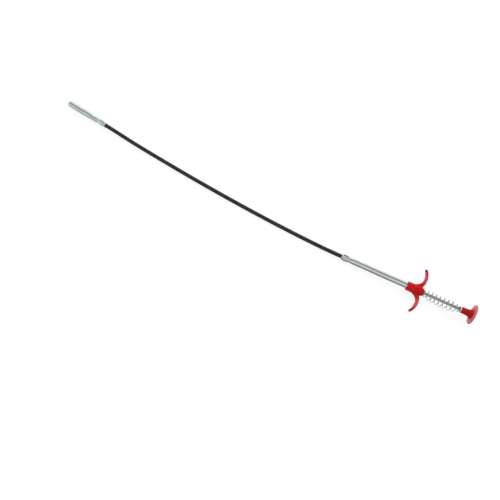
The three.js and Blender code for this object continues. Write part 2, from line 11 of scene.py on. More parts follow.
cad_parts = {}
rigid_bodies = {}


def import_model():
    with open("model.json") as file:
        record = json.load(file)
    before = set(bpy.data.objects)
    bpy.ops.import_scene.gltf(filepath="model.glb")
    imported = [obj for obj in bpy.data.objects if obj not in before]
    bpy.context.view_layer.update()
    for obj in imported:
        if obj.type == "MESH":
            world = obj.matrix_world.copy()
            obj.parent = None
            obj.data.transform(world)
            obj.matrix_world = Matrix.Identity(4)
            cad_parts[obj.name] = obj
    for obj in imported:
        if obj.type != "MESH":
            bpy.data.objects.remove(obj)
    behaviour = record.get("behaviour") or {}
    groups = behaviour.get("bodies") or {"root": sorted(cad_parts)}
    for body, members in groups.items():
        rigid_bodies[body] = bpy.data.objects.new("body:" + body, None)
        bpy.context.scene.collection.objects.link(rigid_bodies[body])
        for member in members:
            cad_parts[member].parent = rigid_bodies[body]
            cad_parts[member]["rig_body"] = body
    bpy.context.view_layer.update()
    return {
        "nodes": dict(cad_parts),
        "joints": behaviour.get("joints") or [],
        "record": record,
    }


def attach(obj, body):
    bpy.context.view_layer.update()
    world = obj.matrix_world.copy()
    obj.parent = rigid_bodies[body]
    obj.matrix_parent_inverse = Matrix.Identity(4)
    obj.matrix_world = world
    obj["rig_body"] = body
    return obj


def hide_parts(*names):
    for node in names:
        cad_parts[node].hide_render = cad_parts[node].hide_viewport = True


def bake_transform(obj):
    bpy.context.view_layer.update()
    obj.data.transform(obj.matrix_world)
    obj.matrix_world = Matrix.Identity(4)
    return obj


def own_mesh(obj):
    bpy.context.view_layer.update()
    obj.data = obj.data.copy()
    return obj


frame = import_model()
scene = bpy.context.scene
mm = 0.001
joints = {joint["name"]: joint for joint in frame["joints"]}
couplings = {c["joint"]: c for c in frame["record"]["behaviour"]["couplings"]}

print("frame loaded:", len(frame["nodes"]), "nodes")


# Places, read from the frame

def unit(vector):
    # the vector over its length
    return np.array(vector, float) / np.linalg.norm(vector)


def meshPoints(mesh):
    # a mesh's vertices in millimetres
    points = np.empty(len(mesh.vertices) * 3, np.float32)
    mesh.vertices.foreach_get("co", points)
    return points.reshape(-1, 3).astype(float) / mm


def nodePoints(name):
    return meshPoints(frame["nodes"][name].data)


def endCentre(name, direction):
    # middle of the ring of a node's vertices that lies furthest along a direction, within a small slack
    slack = 0.02
    points = nodePoints(name)
    reach = points @ direction
    ring = points[reach > reach.max() - slack]
    return (ring.min(0) + ring.max(0)) / 2


def axesFrom(origin, along):
    # an origin and three axes: along, level across, and up
    across = unit(np.cross([0, 0, 1], along))
    return origin, np.array([along, across, np.cross(along, across)])


def toAxes(axes, points):
    # places in a set of axes: the offset from the origin, measured along each axis
    return (points - axes[0]) @ axes[1].T


def fromAxes(axes, points):
    # the way back: the origin and each axis times its measure
    return np.asarray(points, float) @ axes[1] + axes[0]


def spanOf(name, axes):
    # lowest and highest place of a node along the first axis
    reach = toAxes(axes, nodePoints(name))[:, 0]
    return reach.min(), reach.max()


handleDirection = -unit(joints["plunger_slide"]["axis"])
tipDirection = unit(joints["claw_carrier_slide"]["axis"])
handleAxes = axesFrom(endCentre("handle_tube", -handleDirection), handleDirection)
tipAxes = axesFrom(endCentre("tip_sleeve", -tipDirection), tipDirection)
hinge = np.array(joints["shaft_bend"]["pos_m"]) / mm

gripFront, gripRear = spanOf("finger_grip", handleAxes)
tubeRear = spanOf("handle_tube", handleAxes)[1]
buttonFront, buttonRear = spanOf("thumb_button", handleAxes)
washerFront, washerRear = spanOf("spring_washer", handleAxes)
rodFront, rodRear = spanOf("plunger_rod", handleAxes)
ferruleFront, ferruleRear = spanOf("cable_ferrule", handleAxes)
shaftInTube = spanOf("flexible_shaft", handleAxes)[1]
shaftInSleeve = spanOf("flexible_shaft", tipAxes)[1]
sleeveLength = spanOf("tip_sleeve", tipAxes)[1]
carrierRear, carrierFront = spanOf("claw_ferrule", tipAxes)


# Curves and skins

def smooth(value):
    # from 0 to 1, level at both: three times the square less twice the cube
    t = np.clip(value, 0, 1)
    return t * t * (3 - 2 * t)


def rise(value, start, end):
    # the same between two places, the first of which may be the larger one
    return smooth((value - start) / (end - start))


def circle(sides):
    # evenly spaced angles of a whole turn
    return np.arange(sides) * 2 * math.pi / sides


def axisRings(along, radius):
    # rings round the first axis: at each place and angle, the radius times the angle's cosine and sine
    radius = np.asarray(radius, float)
    angle = circle(radius.shape[1])
    places = np.broadcast_to(np.asarray(along, float)[:, None], radius.shape)
    return np.stack([places, radius * np.cos(angle), radius * np.sin(angle)], axis=-1)


def profileRings(profile, sides):
    # a profile of [along, radius] points turned round the first axis
    profile = np.asarray(profile, float)
    return axisRings(profile[:, 0], np.repeat(profile[:, 1:], sides, axis=1))


def filleted(corners, steps=6):
    # a profile with an arc in place of each [along, radius, rounding] corner that has a rounding: the arc's
    # centre lies on the corner's bisector, and its points are the ends' directions mixed by sines
    points = []
    for i, (along, radius, rounding) in enumerate(corners):
        corner = np.array([along, radius], float)
        if not rounding:
            points.append(corner)
            continue
        before = unit(np.array(corners[i - 1][:2]) - corner)
        after = unit(np.array(corners[(i + 1) % len(corners)][:2]) - corner)
        half = math.acos(np.clip(before @ after, -1, 1)) / 2
        centre = corner + unit(before + after) * rounding / math.sin(half)
        start = corner + before * rounding / math.tan(half) - centre
        end = corner + after * rounding / math.tan(half) - centre
        share = np.linspace(0, 1, steps + 1)[:, None]
        spread = math.pi - 2 * half
        arc = (np.sin((1 - share) * spread) * start + np.sin(share * spread) * end) / math.sin(spread)
        points.extend(centre + arc)
    return np.array(points)


def sweptRings(path, normals, radius, sides):
    # a circle carried along a path: radius times cosine along the given normals, made square to the path,
    # and radius times sine across them
    along = np.gradient(path, axis=0)
    along /= np.linalg.norm(along, axis=1)[:, None]
    normals = normals - np.sum(normals * along, axis=1)[:, None] * along
    normals /= np.linalg.norm(normals, axis=1)[:, None]
    across = np.cross(along, normals)
    angle = circle(sides)[:, None]
    radius = np.broadcast_to(radius, len(path))[:, None, None]
    return path[:, None] + radius * (np.cos(angle) * normals[:, None] + np.sin(angle) * across[:, None])


def withRoundEnds(path, normals, radius, steps=5):
    # the path, normals and radii with a dome of rings added at each end: out by the sine of an angle, and
    # as wide as its cosine, up to a small flat at the pole
    beforePole = 0.96
    turn = np.linspace(0, math.pi / 2, steps + 1)[1:] * beforePole
    first, last = unit(path[0] - path[1]), unit(path[-1] - path[-2])
    head = path[0] + np.outer(radius * np.sin(turn), first)
    tail = path[-1] + np.outer(radius * np.sin(turn), last)
    radii = np.concatenate([radius * np.cos(turn[::-1]), np.full(len(path), radius), radius * np.cos(turn)])
    ends = [np.repeat(normals[:1], steps, axis=0), normals, np.repeat(normals[-1:], steps, axis=0)]
    return np.concatenate([head[::-1], path, tail]), np.concatenate(ends), radii


def addSkin(name, rings, joined=False, sharp=40):
    # a closed skin over rings of points: the last ring joins the first, or both ends get a flat cap
    count, sides = rings.shape[:2]
    rows = np.arange(count if joined else count - 1)[:, None] * sides
    nextRows = (rows + sides) % (count * sides)
    k = np.arange(sides)
    turn = (k + 1) % sides
    loops = np.stack([rows + k, rows + turn, nextRows + turn, nextRows + k], axis=-1).ravel()
    sizes = np.full(len(loops) // 4, 4)
    if not joined:
        loops = np.concatenate([loops, k[::-1], (count - 1) * sides + k])
        sizes = np.concatenate([sizes, [sides, sides]])
    starts = np.concatenate([[0], np.cumsum(sizes)[:-1]])
    mesh = bpy.data.meshes.new(name)
    mesh.vertices.add(count * sides)
    mesh.vertices.foreach_set("co", (rings * mm).astype(np.float32).ravel())
    mesh.loops.add(len(loops))
    mesh.loops.foreach_set("vertex_index", loops.astype(np.int32))
    mesh.polygons.add(len(starts))
    mesh.polygons.foreach_set("loop_start", starts.astype(np.int32))
    mesh.update(calc_edges=True)
    finishMesh(mesh, sharp)
    piece = bpy.data.objects.new(name, mesh)
    scene.collection.objects.link(piece)
    return piece


def finishMesh(mesh, sharp):
    # faces outwards, smooth shading, and hard edges where the surface turns by more than an angle
    mesh.calc_loop_triangles()
    corners = np.empty(len(mesh.loop_triangles) * 3, np.int32)
    mesh.loop_triangles.foreach_get("vertices", corners)
    a, b, c = meshPoints(mesh)[corners.reshape(-1, 3)].transpose(1, 0, 2)
    if np.sum(a * np.cross(b, c)) < 0:  # six times the volume
        mesh.flip_normals()
    mesh.polygons.foreach_set("use_smooth", np.ones(len(mesh.polygons), bool))
    mesh.set_sharp_from_angle(angle=math.radians(sharp))


def addAttribute(piece, name, values):
    # one number for each vertex, for the materials to read
    attribute = piece.data.attributes.new(name, "FLOAT", "POINT")
    attribute.data.foreach_set("value", np.asarray(values, np.float32).ravel())


def dress(piece, material, node, body=None, blend=None):
    # material, the node that the piece stands for, its slot, and the body that it moves with; a piece given blend ends
    # is baked where it stands and moves with no body
    piece.data.materials.append(material)
    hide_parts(node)
    if blend:
        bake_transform(piece)
    else:
        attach(piece, body or frame["nodes"][node]["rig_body"])
    return piece


# Shader helpers and groups

def addNode(tree, kind, inputs=None, **settings):
    # a node with its settings, and its inputs, by name or number, set to values or linked to outputs
    node = tree.nodes.new(kind)
    for key, value in settings.items():
        setattr(node, key, value)
    for key, value in (inputs or {}).items():
        if isinstance(value, bpy.types.NodeSocket):
            tree.links.new(value, node.inputs[key])
        else:
            node.inputs[key].default_value = value
    return node


def calculate(tree, operation, *values):
    # one step of arithmetic
    return addNode(tree, "ShaderNodeMath", dict(enumerate(values)), operation=operation).outputs[0]


def mixColour(tree, factor, first, second):
    # the first colour at 0, the second at 1; sockets 6, 7 and 2 are the node's colours
    return addNode(tree, "ShaderNodeMix", {0: factor, 6: first, 7: second}, data_type="RGBA").outputs[2]


def mapRange(tree, value, low, high, toLow=0.0, toHigh=1.0):
    # a smooth step from one range to another
    inputs = {0: value, 1: low, 2: high, 3: toLow, 4: toHigh}
    return addNode(tree, "ShaderNodeMapRange", inputs, interpolation_type="SMOOTHSTEP").outputs[0]


def newGroup(name, inputs, outputs):
    # a shader node group from {socket name: type and default} inputs and {socket name: type} outputs
    tree = bpy.data.node_groups.new(name, "ShaderNodeTree")
    for socketName, (kind, default) in inputs.items():
        socket = tree.interface.new_socket(socketName, in_out="INPUT", socket_type=kind)
        socket.default_value = default
    for socketName, kind in outputs.items():
        tree.interface.new_socket(socketName, in_out="OUTPUT", socket_type=kind)
    return tree, tree.nodes.new("NodeGroupInput").outputs, tree.nodes.new("NodeGroupOutput").inputs


def placeGroup(tree, group, **inputs):
    # a group placed in a material with its own values
    return addNode(tree, "ShaderNodeGroup", inputs, node_tree=group).outputs


def objectPlace(tree):
    # the place on the object, in metres
    return addNode(tree, "ShaderNodeTexCoord").outputs["Object"]


def perMetre(tree, size):
    # how many patterns of a size in millimetres fit in the metre that Object coordinates count in
    return calculate(tree, "DIVIDE", 1000.0, size)


def buildTone():
    # soft patches of noise: a mask, and a colour that they lighten and darken
    tree, given, made = newGroup(
        "unevenTone",
        {
            "Colour": ("NodeSocketColor", (1, 1, 1, 1)),
            "Size": ("NodeSocketFloat", 10),
            "Amount": ("NodeSocketFloat", 0.2),
        },
        {"Colour": "NodeSocketColor", "Mask": "NodeSocketFloat"},
    )
    inputs = {"Vector": objectPlace(tree), "Scale": perMetre(tree, given["Size"]), "Detail": 4.0, "Roughness": 0.6}
    noise = addNode(tree, "ShaderNodeTexNoise", inputs)
    mask = mapRange(tree, noise.outputs[0], 0.35, 0.65)
    low = calculate(tree, "SUBTRACT", 1.0, given["Amount"])
    high = calculate(tree, "ADD", 1.0, given["Amount"])
    gain = addNode(tree, "ShaderNodeMapRange", {0: mask, 3: low, 4: high}).outputs[0]
    scaled = addNode(tree, "ShaderNodeVectorMath", {0: given["Colour"], "Scale": gain}, operation="SCALE").outputs[0]
    tree.links.new(scaled, made["Colour"])
    tree.links.new(mask, made["Mask"])
    return tree


def buildGrain():
    # the fine skin of a moulded or plated surface: a height from small noise and a few pits
    tree, given, made = newGroup(
        "fineGrain",
        {"Size": ("NodeSocketFloat", 0.3), "Pits": ("NodeSocketFloat", 0.3)},
        {"Height": "NodeSocketFloat"},
    )
    place, scale = objectPlace(tree), perMetre(tree, given["Size"])
    noise = addNode(tree, "ShaderNodeTexNoise", {"Vector": place, "Scale": scale, "Detail": 3.0})
    cells = addNode(tree, "ShaderNodeTexVoronoi", {"Vector": place, "Scale": scale})
    pit = mapRange(tree, cells.outputs["Distance"], 0.0, 0.25, -1.0, 0.0)
    tree.links.new(calculate(tree, "MULTIPLY_ADD", pit, given["Pits"], noise.outputs[0]), made["Height"])
    return tree


def buildStreaks():
    # streaks along one direction of the piece: noise that a turned, stretched mapping draws out
    tree, given, made = newGroup(
        "drawnStreaks",
        {
            "Turn": ("NodeSocketVector", (0, 0, 0)),
            "Width": ("NodeSocketFloat", 0.3),
            "Length": ("NodeSocketFloat", 20),
        },
        {"Mask": "NodeSocketFloat", "Height": "NodeSocketFloat"},
    )
    inputs = {"Vector": objectPlace(tree), "Rotation": given["Turn"]}
    turned = addNode(tree, "ShaderNodeMapping", inputs, vector_type="POINT").outputs[0]
    across = perMetre(tree, given["Width"])
    scale = addNode(tree, "ShaderNodeCombineXYZ", {0: perMetre(tree, given["Length"]), 1: across, 2: across}).outputs[0]
    stretched = addNode(tree, "ShaderNodeVectorMath", {0: turned, 1: scale}, operation="MULTIPLY").outputs[0]
    noise = addNode(tree, "ShaderNodeTexNoise", {"Vector": stretched, "Scale": 1.0, "Detail": 5.0, "Roughness": 0.65})
    tree.links.new(mapRange(tree, noise.outputs[0], 0.38, 0.62), made["Mask"])
    tree.links.new(noise.outputs[0], made["Height"])
    return tree


def buildScuffs():
    # short thin scratches in all directions: the edges of cells, where a patch of noise lets them through
    tree, given, made = newGroup(
        "scuffs",
        {"Size": ("NodeSocketFloat", 4), "Amount": ("NodeSocketFloat", 0.5)},
        {"Mask": "NodeSocketFloat"},
    )
    place, scale = objectPlace(tree), perMetre(tree, given["Size"])
    cells = addNode(tree, "ShaderNodeTexVoronoi", {"Vector": place, "Scale": scale}, feature="DISTANCE_TO_EDGE")
    line = mapRange(tree, cells.outputs["Distance"], 0.0, 0.03, 1.0, 0.0)
    patches = addNode(tree, "ShaderNodeTexNoise", {"Vector": place, "Scale": scale, "Detail": 2.0})
    wornAndShaded = mapRange(tree, patches.outputs[0], 0.52, 0.66)
    tree.links.new(calculate(tree, "MULTIPLY", calculate(tree, "MULTIPLY", line, wornAndShaded), given["Amount"]), made["Mask"])
    return tree


toneGroup, grainGroup, streakGroup, scuffGroup = buildTone(), buildGrain(), buildStreaks(), buildScuffs()


def fromSrgb(red, green, blue):
    # a colour as a picture editor shows it, in the linear values that a shader takes
    values = np.array([red, green, blue]) / 255
    linear = np.where(values <= 0.04045, values / 12.92, ((values + 0.055) / 1.055) ** 2.4)
    return (*linear.tolist(), 1.0)


def newMaterial(name, **plain):
    # a material with its Principled BSDF, whose plain inputs are set directly
    material = bpy.data.materials.new(name)
    material.use_nodes = True
    tree = material.node_tree
    shader = tree.nodes["Principled BSDF"]
    for key, value in plain.items():
        shader.inputs[key.replace("_", " ")].default_value = value
    return material, tree, shader


def addBump(tree, shader, height, relief):
    # a height times the relief, as bumps in the surface
    bump = addNode(tree, "ShaderNodeBump", {"Height": height, "Distance": relief * mm, "Strength": 1.0})
    tree.links.new(bump.outputs[0], shader.inputs["Normal"])


def attributeOf(tree, name):
    # a mask that the mesh carries
    return addNode(tree, "ShaderNodeAttribute", attribute_name=name).outputs["Fac"]


# colours are as a picture editor shows them, and sizes in millimetres
plasticLook = {
    # painted light in these colours: the pink is a painted glow and reflection on thin plastic, the deeper red painted
    # shade where less light passes through thick plastic, and the greyish red painted shade at the horns' tips and the
    # disc's rim
    "body": (200, 12, 16), "thickShade": (172, 4, 6), "thin": (255, 160, 168), "tip": (104, 44, 50), "scuff": (216, 66, 70),
    "roughness": (0.3, 0.42), "patch": 9, "unevenness": 0.07, "grain": 0.35, "pits": 0.15, "relief": 0.03,
    "seamHeight": 6.0, "scuffSize": 3.0, "scuffAmount": 0.3, "scuffRoughness": 0.5,
}


def redPlastic():
    # glossy moulded red, with painted light in its colour: painted shade in the thick parts, where less light passes
    # through, a painted pink glow and reflection where it is thin, and painted shade at the horns' tips and the disc's
    # rim; scuffed and with a fine skin
    material, tree, shader = newMaterial("redPlastic", Specular_IOR_Level=0.14, Coat_Weight=0.12, Coat_Roughness=0.05)
    look = plasticLook
    colour = fromSrgb(*look["body"])
    # painted light mixed in: a pink glow and reflection, shade in the thick parts, and shade at the tips and the rim
    for attribute, kind in (("thin", "thin"), ("thickShade", "thickShade"), ("wornAndShaded", "tip")):
        colour = mixColour(tree, attributeOf(tree, attribute), colour, fromSrgb(*look[kind]))
    tone = placeGroup(tree, toneGroup, Colour=colour, Size=look["patch"], Amount=look["unevenness"])
    scuff = placeGroup(tree, scuffGroup, Size=look["scuffSize"], Amount=look["scuffAmount"])["Mask"]
    tree.links.new(mixColour(tree, scuff, tone["Colour"], fromSrgb(*look["scuff"])), shader.inputs["Base Color"])
    rough = mapRange(tree, tone["Mask"], 0.0, 1.0, *look["roughness"])
    rougher = calculate(tree, "MULTIPLY_ADD", scuff, look["scuffRoughness"], rough)
    tree.links.new(rougher, shader.inputs["Roughness"])
    grain = placeGroup(tree, grainGroup, Size=look["grain"], Pits=look["pits"])["Height"]
    seam = mapRange(tree, attributeOf(tree, "seam"), 0.0, 1.0, 0.0, look["seamHeight"])
    addBump(tree, shader, calculate(tree, "ADD", grain, seam), look["relief"])
    return material


# streaks are (width, length), and their share is how far they turn light into dark
anyMetal = {
    "share": 0.5, "relief": 0.004, "patch": 12, "unevenness": 0.06,
    "scuffSize": 2.5, "scuffAmount": 0.5, "scuffRoughness": 0.2,
}
metalLooks = {
    "brightPlate": {"light": (222, 228, 231), "dark": (168, 176, 180), "roughness": (0.08, 0.2), "streak": (0.5, 30)},
    "groundRod": {"light": (186, 192, 194), "dark": (130, 136, 138), "roughness": (0.2, 0.34), "streak": (0.25, 8)},
    "springWire": {"light": (206, 211, 212), "dark": (140, 146, 148), "roughness": (0.16, 0.3), "streak": (0.4, 3)},
    "strandWire": {"light": (140, 142, 141), "dark": (90, 92, 92), "roughness": (0.3, 0.5), "streak": (0.3, 4)},
    "clawSteel": {"light": (182, 187, 188), "dark": (120, 126, 128), "roughness": (0.18, 0.32), "streak": (0.3, 5)},
    "zincPlate": {
        "light": (234, 245, 246), "dark": (180, 195, 197), "roughness": (0.2, 0.36), "streak": (0.7, 26),
        "share": 0.7, "relief": 0.008,
    },
}


def platedMetal(name, turn):
    # plated or drawn steel: streaks along the piece change its colour and roughness, patches its tone
    look = {**anyMetal, **metalLooks[name]}
    material, tree, shader = newMaterial(name, Metallic=1.0)
    streaks = placeGroup(tree, streakGroup, Turn=turn, Width=look["streak"][0], Length=look["streak"][1])
    share = calculate(tree, "MULTIPLY", streaks["Mask"], look["share"])
    colour = mixColour(tree, share, fromSrgb(*look["light"]), fromSrgb(*look["dark"]))
    tone = placeGroup(tree, toneGroup, Colour=colour, Size=look["patch"], Amount=look["unevenness"])
    tree.links.new(tone["Colour"], shader.inputs["Base Color"])
    scuff = placeGroup(tree, scuffGroup, Size=look["scuffSize"], Amount=look["scuffAmount"])["Mask"]
    rough = mapRange(tree, streaks["Mask"], 0.0, 1.0, *look["roughness"])
    rougher = calculate(tree, "MULTIPLY_ADD", scuff, look["scuffRoughness"], rough)
    tree.links.new(rougher, shader.inputs["Roughness"])
    addBump(tree, shader, streaks["Height"], look["relief"])
    return material


coilLook = {
    # the dark colour, where the wire faces the next turns and the core, is painted shade; the crests are rubbed lighter
    "groove": (16, 16, 15), "crest": (55, 55, 52), "lighter": (0.35, 0.95), "patch": 5.0, "unevenness": 0.25,
    "bare": (150, 150, 146), "speck": 1.1, "specks": (0.8, 1.0), "speckCrest": (0.9, 1.0), "bareShare": 0.45,
    "roughness": (0.6, 0.36), "smoother": (0.3, 1.0), "grain": 0.2, "pits": 0.4, "relief": 0.01,
}


def blackCoil():
    # blackened wire: painted shade between the turns, rubbed lighter on their crests, bare steel in a few specks
    look = coilLook
    material, tree, shader = newMaterial("blackCoil", Metallic=0.15, Specular_IOR_Level=0.3)
    crest = attributeOf(tree, "crest")
    tone = placeGroup(tree, toneGroup, Colour=fromSrgb(*look["crest"]), Size=look["patch"], Amount=look["unevenness"])
    colour = mixColour(tree, mapRange(tree, crest, *look["lighter"]), fromSrgb(*look["groove"]), tone["Colour"])
    specks = mapRange(tree, placeGroup(tree, toneGroup, Size=look["speck"])["Mask"], *look["specks"])
    rubbed = calculate(tree, "MULTIPLY", specks, mapRange(tree, crest, *look["speckCrest"]))
    share = calculate(tree, "MULTIPLY", rubbed, look["bareShare"])
    tree.links.new(mixColour(tree, share, colour, fromSrgb(*look["bare"])), shader.inputs["Base Color"])
    tree.links.new(mapRange(tree, crest, *look["smoother"], *look["roughness"]), shader.inputs["Roughness"])
    addBump(tree, shader, placeGroup(tree, grainGroup, Size=look["grain"], Pits=look["pits"])["Height"], look["relief"])
    return material


nylonLook = {
    "colour": (232, 214, 212), "patch": 2.0, "unevenness": 0.05, "roughness": (0.4, 0.55),
    "grain": 0.15, "pits": 0.2, "relief": 0.01,
}


def paleNylon():
    # matt moulded nylon, a little uneven in tone and gloss
    look = nylonLook
    material, tree, shader = newMaterial("paleNylon", IOR=1.53)
    tone = placeGroup(tree, toneGroup, Colour=fromSrgb(*look["colour"]), Size=look["patch"], Amount=look["unevenness"])
    tree.links.new(tone["Colour"], shader.inputs["Base Color"])
    tree.links.new(mapRange(tree, tone["Mask"], 0.0, 1.0, *look["roughness"]), shader.inputs["Roughness"])
    addBump(tree, shader, placeGroup(tree, grainGroup, Size=look["grain"], Pits=look["pits"])["Height"], look["relief"])
    return material


def turnTo(direction):
    # rotation of a mapping that lays a direction along the first axis
    level = math.hypot(direction[0], direction[1])
    return (0.0, math.atan2(direction[2], level), -math.atan2(direction[1], direction[0]))


red, nylon, coilBlack = redPlastic(), paleNylon(), blackCoil()
handleTurn, tipTurn = turnTo(handleDirection), turnTo(tipDirection)
chrome, rodSteel = platedMetal("brightPlate", handleTurn), platedMetal("groundRod", handleTurn)
springSteel, cableSteel = platedMetal("springWire", handleTurn), platedMetal("strandWire", handleTurn)
zinc, clawSteel = platedMetal("zincPlate", tipTurn), platedMetal("clawSteel", tipTurn)
print("materials made:", len(bpy.data.materials))


# Crimped tubes

# places from the mouth: the lobes are whole between front and back and gone at the waist, and the tube is
# plain from length on
crimp = {
    "length": 14, "lobes": 4, "turn": math.radians(38), "rise": 0.4, "front": 2.8, "back": 6.5, "waist": 11,
    "breadth": 1.6, "bore": 2.8, "rings": 60, "lipRings": 6, "sides": 96,
}
handleTube = {"radius": 4.0, "wall": 0.7}
tipSleeve = {"mouth": 4.6, "waist": 3.95, "wall": 0.55, "taperStart": 24, "taperEnd": 42, "collar": 3}


def crimpedRadius(place, radius, wall):
    # outer radius of a crimped wall: a floor pressed on the shaft, lobes that stand out of it in the
    # cosine of their count times the angle, a waist behind them, then a smooth rise to the plain radius
    angle = circle(crimp["sides"])[None, :]
    place = place[:, None]
    floor = crimp["bore"] + wall
    press = (1 - np.cos(crimp["lobes"] * (angle - crimp["turn"]))) / 2
    standing = rise(place, 0, crimp["front"]) * (1 - rise(place, crimp["back"], crimp["waist"]))
    lobe = standing * (1 - press ** crimp["breadth"])
    opening = rise(place, crimp["waist"], crimp["length"])
    return floor + (radius[:, None] + crimp["rise"] - floor) * lobe + (radius[:, None] - floor) * opening


def crimpedTube(name, axes, length, plainRadius, wall, collar=0):
    # a thin tube with a crimped front: its outer rings, then its inner rings on the way back, with the
    # wall's ends rounded by half its thickness; a collar lengthens the pressed part in front of the lobes
    lip = wall / 2
    dome = lip * (1 - np.cos(np.linspace(0, math.pi / 2, crimp["lipRings"])))
    places = np.concatenate([
        dome - collar, np.linspace(lip - collar, crimp["length"], crimp["rings"])[1:],
        np.linspace(crimp["length"], length - lip, crimp["rings"])[1:], (length - dome)[::-1][1:],
    ])
    toEnd = np.minimum(places + collar, length - places)
    inset = lip - np.sqrt(np.maximum(lip ** 2 - np.maximum(lip - toEnd, 0) ** 2, 0))
    outer = crimpedRadius(places, plainRadius(places), wall)
    outside = axisRings(places, outer - inset[:, None])
    inside = axisRings(places, outer - wall + inset[:, None])[::-1]
    keep = np.ones(2 * len(places), bool)
    keep[[len(places), -1]] = False  # the two walls meet in one ring at each end
    return addSkin(name, fromAxes(axes, np.concatenate([outside, inside])[keep]), joined=True, sharp=60)


def tubeRadius(places):
    # the same radius all the way
    return np.full(len(places), handleTube["radius"])


def sleeveRadius(places):
    # wide at the mouth, and tapering smoothly to the waist behind it
    taper = rise(sleeveLength - places, tipSleeve["taperStart"], tipSleeve["taperEnd"])
    return tipSleeve["mouth"] - (tipSleeve["mouth"] - tipSleeve["waist"]) * taper


tube = crimpedTube("handleTube", handleAxes, tubeRear, tubeRadius, handleTube["wall"])
dress(tube, chrome, "handle_tube")
sleeve = crimpedTube("tipSleeve", tipAxes, sleeveLength, sleeveRadius, tipSleeve["wall"], tipSleeve["collar"])
dress(sleeve, zinc, "tip_sleeve")
print("crimped tubes made")


# Flexible shaft and cable

# landing and lift are the lengths in which the shaft comes down to the floor and leaves it, and the bend
# zone is how far from the hinge, to either side, the blend ends that dress is given lie
shaft = {
    "radius": 2.73, "wire": 0.55, "pitch": 1.13, "landing": 40, "lift": 60, "bendZone": 80,
    "stepsPerTurn": 22, "sides": 8,
}
cable = {
    "radius": 0.9, "lay": 7, "wires": 6, "groove": 0.16, "inFerrule": 5.7, "gap": 0.1, "step": 0.5, "sides": 24,
}
span = np.linalg.norm((tipAxes[0] - handleAxes[0])[:2])  # from the tube's mouth to the sleeve's, level


def routeHeight(distance):
    # straight out of the tube, down to the floor, along it, and up to the sleeve's axis
    slope = handleDirection[2] / handleDirection[0]
    lead = 2 * shaft["radius"]
    down = np.clip((distance - lead) / shaft["landing"], 0, 1)
    start = handleAxes[0][2] - lead * slope - shaft["radius"]
    landing = start * (1 - smooth(down)) - slope * shaft["landing"] * down * (1 - down) ** 2
    up = rise(distance, span - lead - shaft["lift"], span - lead)
    onFloor = shaft["radius"] + landing + (tipAxes[0][2] - shaft["radius"]) * up
    return np.where(distance < lead, handleAxes[0][2] - distance * slope, onFloor)


def routePoint(distance):
    # the shaft's axis by its distance in front of the tube: the handle's line, a cubic bow, the sleeve's line
    distance = np.asarray(distance, float)
    share = np.clip(distance / span, 0, 1)[:, None]
    rest = 1 - share
    start, end = handleAxes[0][:2], tipAxes[0][:2]
    first = start - np.array([span / 3, 0])
    second = end - tipDirection[:2] * span / 3
    bow = rest ** 3 * start + 3 * share * rest ** 2 * first + 3 * share ** 2 * rest * second + share ** 3 * end
    points = np.column_stack([bow, routeHeight(distance)])
    behind = handleAxes[0] - np.outer(distance, handleDirection)
    ahead = tipAxes[0] + np.outer(distance - span, tipDirection)
    points = np.where(distance[:, None] < 0, behind, points)
    return np.where(distance[:, None] > span, ahead, points)


def routeFrame(distance):
    # points of the route with their level side and upward directions, from the points just before and after
    probe = 0.5
    along = routePoint(distance + probe) - routePoint(distance - probe)
    along /= np.linalg.norm(along, axis=1)[:, None]
    side = np.cross([0, 0, 1], along)
    side /= np.linalg.norm(side, axis=1)[:, None]
    return routePoint(distance), side, np.cross(along, side)


def coilWire():
    # a wire wound round the route: its angle grows by a turn for each pitch along the route; its crest is
    # the side away from the route
    length = span + shaftInTube + shaftInSleeve - 2 * shaft["wire"]
    steps = int(length / shaft["pitch"] * shaft["stepsPerTurn"])
    distance = np.linspace(0, length, steps + 1) - shaftInTube + shaft["wire"]
    centre, side, up = routeFrame(distance)
    angle = 2 * math.pi * distance / shaft["pitch"]
    outward = np.cos(angle)[:, None] * side + np.sin(angle)[:, None] * up
    path = centre + (shaft["radius"] - shaft["wire"]) * outward
    rings = sweptRings(path, outward, shaft["wire"], shaft["sides"])
    piece = addSkin("flexibleShaft", rings, sharp=70)
    addAttribute(piece, "crest", np.tile((1 + np.cos(circle(shaft["sides"]))) / 2, len(path)))
    return piece


def strandCable(name, start, end):
    # a strand of wires laid round each other: the radius follows the wires' humps, which turn along the route
    distance = np.linspace(start, end, int((end - start) / cable["step"]))
    centre, side, up = routeFrame(distance)
    angle = circle(cable["sides"])
    twist = 2 * math.pi * distance[:, None] / cable["lay"]
    hump = np.abs(np.cos((angle - twist) * cable["wires"] / 2))
    radius = (cable["radius"] - cable["groove"] * (1 - hump))[..., None]
    spread = np.cos(angle)[:, None] * side[:, None] + np.sin(angle)[:, None] * up[:, None]
    return addSkin(name, centre[:, None] + radius * spread, sharp=80)


beyondHinge, beforeHinge = routePoint([span / 2 + 1, span / 2 - 1])
alongHinge = unit([*(beyondHinge - beforeHinge)[:2], 0])
bendEnds = [tuple((hinge + way * shaft["bendZone"] * alongHinge) * mm) for way in (-1, 1)]
dress(coilWire(), coilBlack, "flexible_shaft", blend=bendEnds)
innerCable = strandCable("innerCable", 0, span + carrierRear + cable["inFerrule"])
dress(innerCable, cableSteel, "inner_cable", blend=bendEnds)

# the cable's part in the handle tube, which the plunger pushes forward; it ends just short of the rest
inTube = ferruleFront + cable["inFerrule"]
cableRear = dress(strandCable("cableRear", -inTube, -cable["gap"]), cableSteel, "inner_cable", body="handle")
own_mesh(cableRear)
print("shaft and cable made")


# Finger grip

